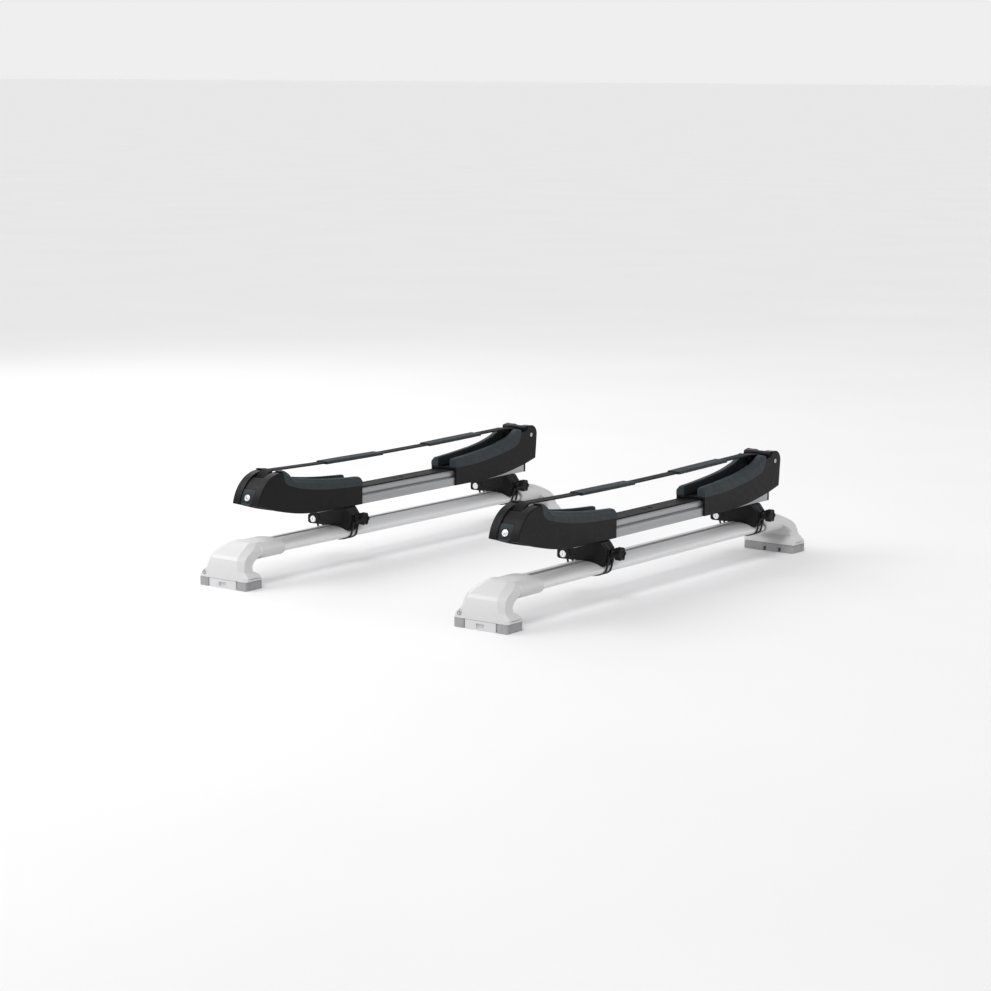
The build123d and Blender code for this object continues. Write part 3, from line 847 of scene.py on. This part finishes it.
def strap_yoke():
    """Two drums with stepped faces, the bar across their top and the strap's hub."""
    x, z = PIVOT
    outline = arc(PIVOT, 20, 92, -195, 54) + filleted(
        [(x - 21.5, z + 6), (x - 21.5, z + 20), (x - 6, z + 20)], [0, 5, 0], closed=False)[1:-1]
    plate = prism("Y", outline, 12.3, 29.7, corners=0)
    rounded(plate, 1.4)
    groove = lathe("Y", PIVOT, [(29.0, 13.5), (31, 13.5)])
    boss = lathe("Y", PIVOT, [(27, 9.0), (29.4, 9.0), (29.7, 8.6)])
    fuse(cut(plate, groove), boss)
    other = mirrored(plate)
    hub = lathe("Y", PIVOT, [(-13, 10.6), (13, 10.6)])
    bar_outline = filleted([(x - 21.5, z + 14.9), (x - 9.5, z + 14.9), (x - 7.5, z + 20),
                            (x - 19.5, z + 20)], [1.8, 1.5, 2.2, 2.8])
    crossbar = prism("Y", bar_outline, -13, 13)
    body = fuse(plate, other, hub, crossbar)
    bore = lathe("Y", PIVOT, [(-40, 3.4), (40, 3.4)], 32)
    return clad(cut(body, bore), "yoke")


# Strap

STRAP_RUN = ((-412, 48), (-412, 95.5), (-250, 91.5), (-30, 90.2), (90, 90.8), (370, 96),
             (425, 91), (433, 91))
STRAP_BENDS = (0, 30, 300, 300, 300, 100, 40, 0)
SLEEVES = ((-226.0, -52.0), (103.0, 277.0))


def resampled(points, step):
    """Points at an even spacing along a line."""
    result = [points[0]]
    left = step
    for a, b in zip(points, points[1:]):
        a, b = Vector(a), Vector(b)
        length = (b - a).length
        place = left
        while place < length:
            result.append(tuple(a.lerp(b, place / length)))
            place += step
        left = place - length
    result.append(points[-1])
    return result


def strap_line():
    run = filleted(STRAP_RUN, STRAP_BENDS, closed=False, steps=10)
    return resampled(run + arc(PIVOT, 12, 90, -88, 24)[1:], 2.0)


def strap():
    """Webbing with a slightly raised selvedge along both edges."""
    top = [(11.1, 1.1), (10.4, 1.2), (9.6, 1.0), (0, 0.95), (-9.6, 1.0), (-10.4, 1.2), (-11.1, 1.1)]
    section = top + [(-11.5, 0.5), (-11.5, -0.5)] + [(w, -h) for w, h in reversed(top)]
    section += [(11.5, -0.5), (11.5, 0.5)]
    return clad(band("Y", strap_line(), section), "strap", 60)


def run_between(x0, x1):
    """The strap's upper run from x0 to x1 and a little further."""
    return [p for p in strap_line() if x0 - 2 <= p[0] <= x1 + 2 and p[1] > 80]


def sleeve(x0, x1):
    """A flat padded tube, open at both ends, a little fuller in its middle."""
    line = run_between(x0, x1)
    steps = 60
    outside, inside = [], []
    for i in range(steps + 1):
        share = i / steps
        x = x0 + (x1 - x0) * share
        z = height_at(line, x)
        end = min(share, 1 - share) * (x1 - x0)
        hem = 0.3 if end > 6.5 else 0.0
        fuller = 0.7 * math.sin(math.pi * share) ** 0.5 if 0 < share < 1 else 0.0
        ripple = 0.10 * math.sin(x * 0.35) + 0.06 * math.sin(x * 0.83 + 1)
        outer = oblong(28 - hem, 5.6 - hem + fuller + ripple, 1.5, 5)
        inner = oblong(25.4, 3.8, 1.0, 5)
        outside.append([(x, y, z + h) for y, h in outer])
        inside.append([(x, y, z + h) for y, h in inner])
    tube = skin(outside + inside[::-1], ring=True)
    return clad(tube, "sleeve", 55)


def stitches(x0, x1):
    """Lock stitches along both edges of a sleeve, on both faces."""
    line = run_between(x0, x1)
    pitch, length = 4.2, 2.7
    count = int((x1 - x0 - 8) / pitch)
    shapes = []
    for i in range(count):
        x = x0 + 4.5 + i * pitch
        share = (x - x0) / (x1 - x0)
        half = 2.7 + 0.45 * math.sin(math.pi * share) ** 0.5
        z = height_at(line, x)
        for y in (-10.2, 10.2):
            for side in (-1, 1):
                path = [(x, z + side * (half - 0.1)), (x + length / 3, z + side * (half + 0.18)),
                        (x + 2 * length / 3, z + side * (half + 0.18)),
                        (x + length, z + side * (half - 0.1))]
                section = [(y + 0.28 * math.cos(a), 0.28 * math.sin(a))
                           for a in (0, 1.26, 2.51, 3.77, 5.03)]
                shapes.append(band("Y", path, section))
    return clad(gather(shapes), "thread", 60)


# Clamps

CLAMPS = {"left": -178.0, "right": 360.0}
BAR_MID_Z = -51.0
HINGE = (48.0, -30.0)
KNOB_Z = -20.0
BLOCK_HALF_WIDTH = 20
BAND_X = (-7.3, 7.3)


def bar_ellipse(grow, start=0, end=360, steps=72):
    points = []
    for i in range(steps + (0 if end - start == 360 else 1)):
        a = math.radians(start + (end - start) * i / steps)
        points.append(((40 + grow) * math.cos(a), BAR_MID_Z + (13.5 + grow) * math.sin(a)))
    return points


def bracket():
    """The saddle block: sunk side webs, twin ridges down its front, the hinge at its rear."""
    half = BLOCK_HALF_WIDTH
    corners = [(-32, 0), (42, 0), (55, -19), (62, -22.5), (62, -37.5), (57, -39.5), (10, -39),
               (-8, -47), (-40, -45), (-46, -26), (-46, -14)]
    radii = [7, 8, 10, 4, 4, 4, 8, 6, 2.5, 6, 7]
    body = prism("X", filleted(corners, radii, steps=7), -half, half, corners=0)
    rounded(body, 2.2, 4)
    wide = half + 0.5
    plan = filleted([(-wide, 75), (wide, 75), (wide, -16), (13.5, -47), (-13.5, -47), (-wide, -16)],
                    [0, 0, 14, 5, 5, 14])
    combine(body, prism("Z", plan, -60, 10), "INTERSECT")
    web = filleted([(-30, -6), (34, -6), (36, -14), (32, -30), (0, -32), (-28, -36), (-38, -24)],
                   [3, 3, 3, 3, 6, 4, 4], steps=4)
    floor = half - 0.9
    for low, high in ((-half - 0.001, -floor), (floor, half + 0.001)):
        cut(body, prism("X", web, low, high))
    ridge = filleted([(-8, -0.8), (-31, -0.8), (-45.2, -13.5), (-45.2, -26), (-42, -38)],
                     [0, 9, 9, 9, 0], closed=False, steps=7)
    for x in BAND_X:
        section = [(x + w, h) for w, h in oblong(5.2, 4.0, 1.6, 4)]
        fuse(body, band("X", ridge, section))
    cut(body, prism("X", bar_ellipse(1.5), -30, 30))
    cut(body, rounded(box(-10.5, 12.5, 41.5, 80, -60, -23), 1.0, 2, 30))
    cut(body, lathe("X", HINGE, [(-25, 7.6), (-19.6, 7.6), (-19.0, 7.1), (-14, 7.1)]))
    cut(body, lathe("X", HINGE, [(-13, 2.6), (15, 2.6)], 32))
    cut(body, lathe("Y", (0, KNOB_Z), [(-60, 3.2), (-30, 3.2)], 32))
    return clad(body, "bracket")


def saddle_pad():
    """A ribbed rubber pad between the bracket and the bar."""
    outer, crest, groove = (bar_ellipse(grow, 58, 152, 40) for grow in (1.5, 0.1, 0.45))
    ribs = [crest[i] if i % 4 < 2 else groove[i] for i in range(len(outer))]
    body = prism("X", outer + ribs[::-1], -18, 18)
    return clad(body, "saddle")


def clamp_band():
    """Twin bands under the bar, a hinge barrel behind and a fork in front."""
    path = [(49, -33), (44.6, -46)] + bar_ellipse(1.7, -8, -172, 60) + [(-43.9, -43), (-47.9, -26)]
    path = resampled(filleted(path, [0, 4] + [0] * 61 + [6, 0], closed=False, steps=5), 1.6)
    shapes = []
    for x in BAND_X:
        section = [(x + w, h) for w, h in oblong(4.8, 2.2, 0.8, 3)]
        shapes.append(band("X", path, section))
    barrel = lathe("X", HINGE, [(-12.6, 2.2), (-12.4, 2.5), (-10, 2.5), (-9.9, 4.6), (-9.5, 5),
                                (11.5, 5), (11.9, 4.6), (12, 2.5), (14.4, 2.5), (14.6, 2.2)], 40)
    plate = [(-11, -31), (11, -31), (11, -13.5), (4, -13.5), (3.7, -20)]
    plate += arc((0, KNOB_Z), 3.7, 0, -180, 12)[1:]
    plate += [(-4, -13.5), (-11, -13.5)]
    fork = prism("Y", plate, -49.4, -46.8, corners=1)
    rounded(fork, 0.6)
    bridge = filleted([(44.5, -41), (48.5, -41), (51.5, -33), (46, -32)], 1.2)
    body = fuse(*shapes, barrel, fork, prism("X", bridge, -9.7, 9.7))
    return clad(body, "bracket")


def clamp_knob():
    """A star grip on a ribbed taper, with the steel bolt through it."""
    outline = []
    for i in range(96):
        a = 2 * math.pi * i / 96
        radius = 13.0 - 2.6 * (0.5 - 0.5 * math.cos(6 * a)) ** 1.6
        outline.append((radius * math.cos(a), KNOB_Z + radius * math.sin(a)))
    grip = prism("Y", outline, -72, -59.5, rims=(1, 0.6), corners=0)
    rounded(grip, 1.6, 4)
    cut(grip, lathe("Y", (0, KNOB_Z), [(-73, 7.2), (-70.6, 6.6)]))
    cap = lathe("Y", (0, KNOB_Z), [(-71.2, 0.8), (-71.3, 3.6), (-70.9, 4.4), (-70, 4.5)], 40)
    taper = lathe("Y", (0, KNOB_Z), [(-60, 7.2), (-58.5, 7.0), (-53.6, 8.4), (-52.8, 9.2),
                                     (-51.3, 9.2), (-50.9, 8.6)], 56)
    ribs = []
    for i in range(12):
        a = 2 * math.pi * (i + 0.5) / 12
        rib = prism("Y", oblong(1.3, 2.4, 0.5, 3), -60.5, -53.2)
        turn = Matrix.Rotation(-a, 4, "Y")
        ribs.append(moved(shifted(rib, z=7.4), translation(0, 0, KNOB_Z) @ turn))
    return clad(fuse(grip, cap, taper, *ribs), "bracket")


def knob_bolt():
    """The threaded bolt between the knob and the bracket."""
    profile = [(-51, 3)]
    for y in range(-50, -33):
        profile += [(y, 3.0), (y + 0.5, 2.6)]
    profile += [(-33, 2.9), (-32, 2.0)]
    return clad(lathe("Y", (0, KNOB_Z), profile, 32), "steel")


def facing_left(shape, x, y, z):
    """A shape that faced +z, turned to face -x and moved to a place."""
    return moved(shape, translation(x, y, z) @ Matrix.Rotation(math.radians(-90), 4, "Y"))


def clamp_lock():
    """The round lock at the bracket's hinge."""
    lock = facing_left(lock_barrel(LOCK_R, 6.4), -BLOCK_HALF_WIDTH - 0.6, *HINGE)
    return clad(lock, "chrome")


# Crossbars and feet

FOOT_OUTER = 517.0
FOOT_INNER = 469.0
SLEEVE_INNER = 386.0
BASE_TOP_Z = -98.0
FOOT_BOTTOM_Z = -115.0
FOOT_LOCK = (46, -88)


def crossbar():
    """The aero extrusion with its top slot."""
    body = prism("X", bar_ellipse(0, 0, 360, 120), -458, 458)
    return clad(cut(body, box(-490, 490, -6, 6, -42, -30)), "bar", 40)


def crossbar_strip():
    """A rubber infill with fine ribs along it, just proud of the slot's lips."""
    top = []
    for i in range(49):
        y = 5.9 - 11.8 * i / 48
        crown = BAR_MID_Z + 13.5 * math.sqrt(1 - (y / 40) ** 2)
        top.append((y, crown + 0.12 * math.cos(y * 5.2)))
    body = prism("X", [(-5.9, -42), (5.9, -42)] + top, -SLEEVE_INNER + 0.5, SLEEVE_INNER - 0.5)
    return clad(body, "strip", 60)


# How the foot's cover narrows as it rises: height, distance of its outer and inner face
# from the middle of the bar, half width and corner facet.
FOOT_LEVELS = (
    (-97.8, 517, 469, 60, 5),
    (-91, 517, 472, 59.2, 7),
    (-88.5, 516.9, 473.5, 58, 8),
    (-81, 516.4, 482, 49, 9),
    (-73, 515.4, 480, 46.5, 10),
    (-66, 514, 474, 45.5, 11),
    (-60, 512, 463, 44.5, 12),
    (-54, 506.5, 448, 43.5, 13),
    (-48, 496, 442, 42.5, 14),
    (-42, 483, 438, 39, 14),
    (-37, 470, 436, 33, 12),
    (-34.2, 461, 436, 27, 9),
)


def foot_level(z, outer, inner, half, corner):
    """One eight-sided level of the foot's cover."""
    small = 0.4 * corner
    side = [(-inner, half - small), (-inner - small, half), (-outer + 0.9 * corner, half),
            (-outer, half - corner)]
    ring = side + [(x, -y) for x, y in side[::-1]]
    return [(x, y, z) for x, y in ring]


def mouth_section(grow, steps=64):
    """The sleeve round the bar: a squarer outline than the bar's own ellipse."""
    points = []
    for i in range(steps):
        a = 2 * math.pi * i / steps
        c, s = math.cos(a), math.sin(a)
        points.append(((40.5 + grow) * math.copysign(abs(c) ** 0.86, c),
                       BAR_MID_Z + (13.5 + grow) * math.copysign(abs(s) ** 0.86, s)))
    return points


def foot_shell():
    """The white cover: a sleeve over the bar and a faceted leg that flares to its toe."""
    leg = skin([foot_level(*level) for level in FOOT_LEVELS])
    tube = prism("X", mouth_section(3.9), -452, -SLEEVE_INNER, corners=0)
    rounded(tube, 1.6)
    body = fuse(leg, tube)
    rounded(body, 1.3, angle=9)
    cut(body, prism("X", bar_ellipse(2.4), -SLEEVE_INNER - 4, -SLEEVE_INNER + 3))
    cut(body, lathe("X", FOOT_LOCK, [(-530, 5.6), (-500, 5.6)], 40))
    for y in (-59, 59):
        cut(body, prism("X", rectangle(y - 4, y + 4, -94.2, -93.2, 0.2, 2), -505, -478))
    return clad(body, "foot", 30)


def foot_gasket():
    """A soft seal between the cover's mouth and the bar."""
    ring = prism("X", bar_ellipse(2.3), -SLEEVE_INNER - 2.2, -SLEEVE_INNER + 0.8)
    cut(ring, prism("X", bar_ellipse(0.1), -SLEEVE_INNER - 5, -SLEEVE_INNER + 5))
    return clad(ring, "base", 40)


def foot_base():
    """The foot's lower block: a parting lip, blocks with gaps between, and a small hook."""
    outer, inner = -508.6, -FOOT_INNER
    lip = rectangle(outer, inner - 1, -57, 57, [2, 4, 4, 2], 5)
    body = prism("Z", lip, -106, BASE_TOP_Z + 0.5)
    for y0, y1 in ((-58, -12), (-7, 22), (28, 58)):
        outline = rectangle(outer, inner, y0, y1, [1.5, 3, 3, 1.5], 5)
        block = prism("Z", outline, FOOT_BOTTOM_Z, BASE_TOP_Z - 1, rims=(1.0, 0.3), corners=0)
        fuse(body, rounded(block, 1.2))
    for y0, y1 in ((-58.5, -35.5), (35.5, 58.5)):
        outline = rectangle(-516.4, -505, y0, y1, [3, 0, 0, 3], 5)
        toe = prism("Z", outline, FOOT_BOTTOM_Z, BASE_TOP_Z, rims=(0.8, 0.2), corners=0)
        fuse(body, rounded(toe, 1.2))
    return clad(body, "base", 35)


def foot_jaw():
    """The outer jaw with its tightening recess and two guide pins."""
    outline = rectangle(-FOOT_OUTER, -509, -34, 34, [2, 0.6, 0.6, 2])
    plate = prism("Z", outline, FOOT_BOTTOM_Z, BASE_TOP_Z - 0.4, rims=(0.8, 0.8), corners=0.4)
    rounded(plate, 1.0)
    cut(plate, rounded(box(-520, -513.5, -9, 9, -112, -103), 1.2, angle=30))
    for y in (-18, 18):
        fuse(plate, lathe("X", (y, -106), [(-512, 3), (-489.4, 3), (-489, 2.6)], 32))
    return clad(plate, "jaw", 35)


def foot_lock():
    lock = facing_left(lock_barrel(5.0, 11.4), -FOOT_OUTER + 1.3, *FOOT_LOCK)
    return clad(lock, "steel")


# Putting it together


def build_carriers():
    root = "root"
    slider = "{row}_telescoping_cradle"
    swing = "{row}_strap_swing"
    put(rail(), "rail_extrusion", root, "{row}_rail")
    put(rail_cover(), "rail_cover_strip", root, "{row}_rail_cover")
    put(rail_end_cap(), "rail_end_plug", root, "{row}_rail_end_cap")
    put(rail_screws(), "rail_cover_screws", root, "rail_screws")
    put(extension_tube(), "telescope_tube", slider, "{row}_extension_tube")
    put(left_housing(), "lock_end_shell", slider, "{row}_left_housing")
    pads = put(left_pads(), "lock_end_cushions", slider, "{row}_left_pads")
    put(lever_axle(), "lever_pin", slider, "{row}_lever_axle")
    put(strap_lever(), "release_tab", "{row}_strap_lever", "{row}_strap_lever")
    put(strap_lock(), "tab_lock", "{row}_strap_lock", "{row}_strap_lock")
    put(right_housing(), "hinge_end_shell", root, "{row}_right_housing")
    pads += put(right_pads(), "hinge_end_cushions", root, "{row}_right_pads")
    put(pivot_pins(), "yoke_pivot_pin", root, "pivot_pins")
    put(strap_yoke(), "yoke", swing, "{row}_strap_yoke")
    put(strap(), "webbing", swing, "{row}_strap")
    for i, ends in enumerate(SLEEVES):
        pads += put(sleeve(*ends), f"sleeve_{i + 1}", swing, "{row}_strap_sleeves")
        put(stitches(*ends), f"sleeve_{i + 1}_stitches", swing)
    for side, x in CLAMPS.items():
        body = f"{{row}}_{side}_clamp"
        put(shifted(bracket(), x), f"{side}_saddle_block", root, f"{{row}}_{side}_bracket")
        put(shifted(saddle_pad(), x), f"{side}_saddle_rubber", root, "saddle_pads")
        put(shifted(clamp_band(), x), f"{side}_twin_band", body + "_band", body + "_band")
        put(shifted(clamp_knob(), x), f"{side}_star_knob", body + "_knob", body + "_knob")
        put(shifted(knob_bolt(), x), f"{side}_knob_bolt", body + "_knob")
        put(shifted(clamp_lock(), x), f"{side}_ear_lock", body + "_lock", body + "_lock")


def build_bars():
    bar, strip = crossbar(), crossbar_strip()
    feet = (
        ("foot_cover", foot_shell(), "foot_shells", "foot_white"),
        ("foot_gasket", foot_gasket(), None, "base_grey"),
        ("foot_base", foot_base(), "foot_bases", "base_grey"),
    )
    jaw, lock = foot_jaw(), foot_lock()
    for row in ROWS:
        place = bar_origin(row)
        stand(bar, f"{row}_aero_bar", place, "root", f"{row}_crossbar")
        stand(strip, f"{row}_slot_strip", place, "root", "crossbar_strips")
        for side in ("left", "right"):
            start, turned = f"{row}_{side}_", side == "right"
            for name, shape, node, slot in feet:
                stand(shape, start + name, place, "root", node, turned)
            for name, shape, node, slot in (("rail_jaw", jaw, "foot_jaw", "jaw_grey"),
                                            ("cover_lock", lock, "foot_lock", "pin_steel")):
                stand(shape, start + name, place, start + node, start + node, turned)
    for shape in (bar, strip, jaw, lock, *(foot[1] for foot in feet)):
        bpy.data.objects.remove(shape)


def add_floor():
    """A wide disc, finer towards its middle."""
    rings, spokes, reach = 24, 48, 400.0
    vertices = [(0, 0, 0)]
    for k in range(1, rings + 1):
        radius = reach * (k / rings) ** 3
        vertices += [(*point, 0) for point in arc((0, 0), radius, 0, 360, spokes)[:-1]]
    faces = []
    for i in range(spokes):
        j = (i + 1) % spokes
        faces.append([0, 1 + i, 1 + j])
        for k in range(rings - 1):
            a, b = 1 + k * spokes, 1 + (k + 1) * spokes
            faces.append([a + i, b + i, b + j, a + j])
    mesh = bpy.data.meshes.new("floor")
    mesh.from_pydata(vertices, [], faces)
    mesh.materials.append(floor_paint())
    add("floor", mesh)


def add_light(name, place, target, size, power):
    light = bpy.data.lights.new(name, "AREA")
    light.shape = "RECTANGLE"
    light.size, light.size_y = size
    light.energy = power
    lamp = add(name, light)
    lamp.location = place
    lamp.rotation_euler = (Vector(target) - Vector(place)).to_track_quat("-Z", "Y").to_euler()


def add_studio():
    """A pale room, brightest at the horizon, with a soft sun and two large lamps behind."""
    world = bpy.data.worlds.new("studio")
    bpy.context.scene.world = world
    world.use_nodes = True
    nodes, links = world.node_tree.nodes, world.node_tree.links
    split = nodes.new("ShaderNodeSeparateXYZ")
    coords = nodes.new("ShaderNodeTexCoord")
    ramp = nodes.new("ShaderNodeValToRGB")
    links.new(coords.outputs["Generated"], split.inputs["Vector"])
    links.new(split.outputs["Z"], ramp.inputs["Fac"])
    stops = ((0.25, (1, 1, 1, 1)), (0.95, (0.5, 0.5, 0.51, 1)))
    for element, (position, color) in zip(ramp.color_ramp.elements, stops):
        element.position = position
        element.color = color
    links.new(ramp.outputs["Color"], nodes["Background"].inputs["Color"])
    nodes["Background"].inputs["Strength"].default_value = 0.86
    sun = bpy.data.lights.new("key", "SUN")
    sun.energy = 1.45
    sun.angle = math.radians(28)
    lamp = add("key", sun)
    lamp.rotation_euler = Vector((0.62, 0.22, -1)).to_track_quat("-Z", "Y").to_euler()
    add_light("rim", (1.2, 3.2, 2.0), (0, 0, 0.1), (2.5, 1.2), 20)
    add_light("nose", (-1.6, 1.9, 2.2), (-0.4, -0.3, 0.13), (2.2, 1.4), 36)
    bpy.context.scene.view_settings.view_transform = "Standard"


add_camera()
build_carriers()
build_bars()
add_floor()
add_studio()
